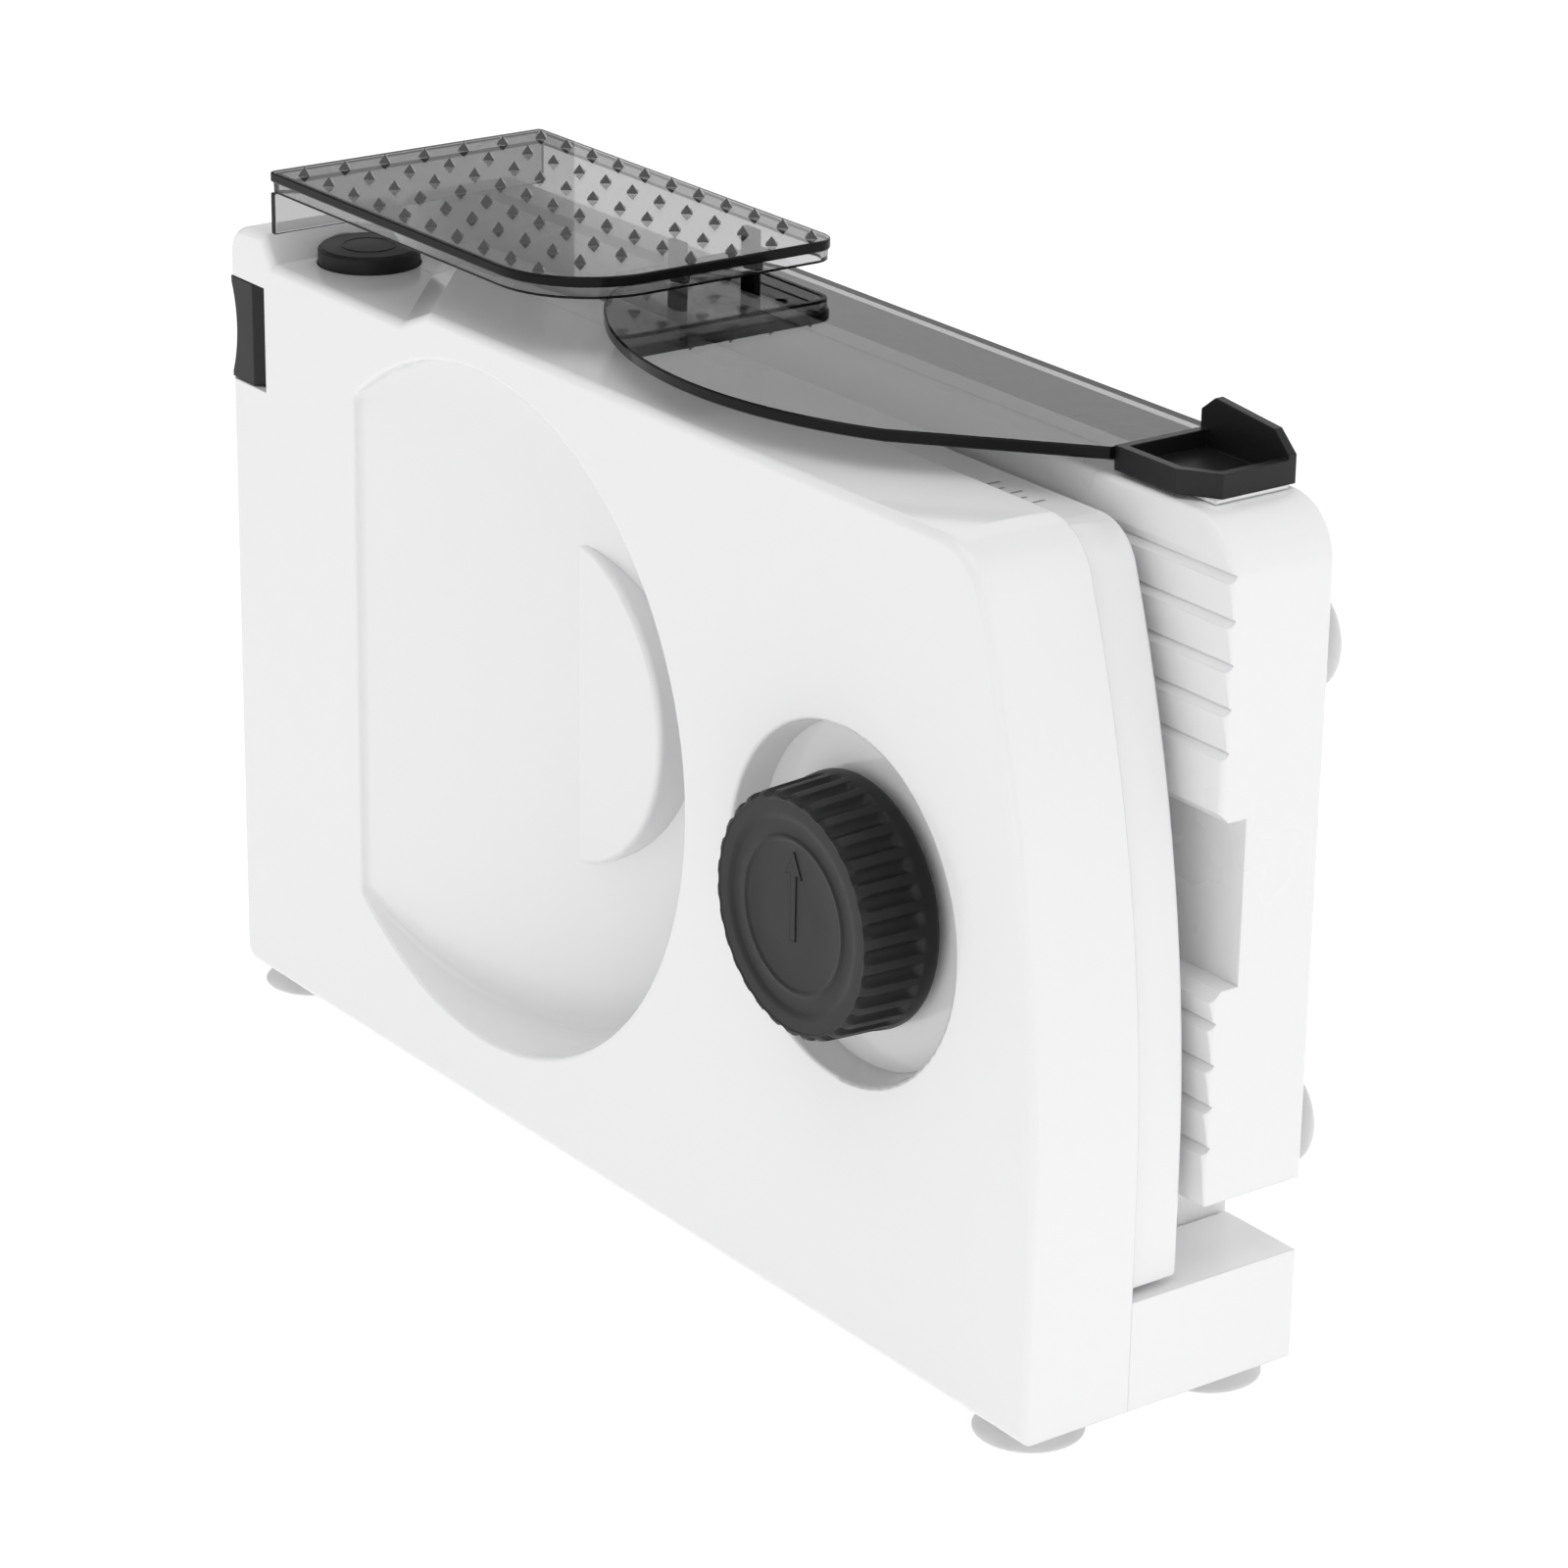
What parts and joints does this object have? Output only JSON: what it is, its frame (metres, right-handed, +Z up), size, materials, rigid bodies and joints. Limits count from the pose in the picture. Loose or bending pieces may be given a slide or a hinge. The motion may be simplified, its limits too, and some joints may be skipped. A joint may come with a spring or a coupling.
{
  "type": "folding electric food slicer",
  "caption": "Folding electric food slicer, stored upright: slab housing with a thickness dial and slice pocket, fold-down ribbed table, sliding carriage and spiked food holder.",
  "frame": {"origin": "middle of the whole object's footprint, on the ground plane under the suction feet", "axes": "+X along the housing towards the leaning end by the dial, +Y from the dial side to the folding table, +Z up"},
  "size_m": [0.34, 0.098, 0.2329],
  "materials": {
    "shell_white": "gloss",
    "table_white": "gloss",
    "foot_silicone": "satin",
    "dial_black": "satin",
    "smoke_clear": "gloss",
    "steel": "brushed",
    "zinc": "satin",
    "belt_rubber": "matt",
    "inner_plastic": "matt",
    "board_green": "satin",
    "brass": "satin",
    "mark_grey": "matt"
  },
  "bodies": {
    "housing": {"front_shell": "shell_white", "rear_shell": "shell_white", "case_screws": "zinc", "suction_feet": "foot_silicone", "motor_can": "zinc", "motor_end_cap": "inner_plastic", "gearhead": "inner_plastic", "drive_belt": "belt_rubber", "chassis_plate": "zinc", "blade_bearing": "brass", "knob_bush": "brass", "guide_rods": "steel", "hinge_pins": "steel", "button_spring": "steel", "button_switch": "inner_plastic", "lever_spring": "steel", "lever_switch": "inner_plastic", "switch_tray": "inner_plastic", "control_board": "board_green", "cord_inlet": "belt_rubber"},
    "blade": {"blade": "steel", "blade_carrier": "inner_plastic", "blade_lock": "dial_black", "blade_pulley": "inner_plastic", "blade_shaft": "steel"},
    "motor_rotor": {"motor_shaft": "steel", "motor_pulley": "inner_plastic"},
    "thickness_dial": {"thickness_knob": "dial_black", "knob_cap": "dial_black", "knob_sleeve": "inner_plastic", "sleeve_clip": "steel"},
    "stop_plate": {"stop_plate": "shell_white", "thread_post": "inner_plastic", "scale_marks": "mark_grey"},
    "table": {"table_top": "table_white", "table_cover": "table_white", "table_feet": "foot_silicone"},
    "carriage": {"carriage_shoe": "table_white", "guard_plate": "smoke_clear", "thumb_cup": "dial_black"},
    "food_holder": {"food_holder": "smoke_clear"},
    "power_button": {"power_button": "dial_black"},
    "switch_lever": {"switch_lever": "dial_black"}
  },
  "joints": [
    {"name": "table_fold", "type": "hinge", "parent": "housing", "child": "table", "pos_m": [0, 0.02205, 0.0269], "axis": [-1, 0, 0], "range_deg": [0, 90]},
    {"name": "carriage_slide", "type": "slide", "parent": "table", "child": "carriage", "axis": [-1, 0, 0], "range_m": [0, 0.15]},
    {"name": "holder_lift", "type": "slide", "parent": "carriage", "child": "food_holder", "axis": [0, 0, 1], "range_m": [0, 0.06]},
    {"name": "dial_turn", "type": "hinge", "parent": "housing", "child": "thickness_dial", "pos_m": [0.098, -0.03495, 0.1121], "axis": [0, -1, 0], "range_deg": [0, 301]},
    {"name": "stop_plate_travel", "type": "slide", "parent": "housing", "child": "stop_plate", "axis": [0, -1, 0], "range_m": [0, 0.015]},
    {"name": "blade_spin", "type": "hinge", "parent": "housing", "child": "blade", "pos_m": [-0.052, 0.00505, 0.1121], "axis": [0, 1, 0], "continuous": true},
    {"name": "motor_spin", "type": "hinge", "parent": "housing", "child": "motor_rotor", "pos_m": [-0.139, 0.00105, 0.0646], "axis": [0, 1, 0], "continuous": true},
    {"name": "button_press", "type": "slide", "parent": "housing", "child": "power_button", "axis": [0, 0, -1], "range_m": [0, 0.0025], "stiffness_N_per_m": 500, "springref_m": -0.002, "deforming": ["button_spring"]},
    {"name": "lever_press", "type": "slide", "parent": "housing", "child": "switch_lever", "axis": [1, 0, 0], "range_m": [0, 0.0016], "stiffness_N_per_m": 400, "springref_m": -0.002, "deforming": ["lever_spring"]}
  ],
  "couplings": [
    {"joint": "dial_turn", "follows": "stop_plate_travel", "rad_per_m": 349},
    {"joint": "motor_spin", "follows": "blade_spin", "ratio": 4.5}
  ]
}
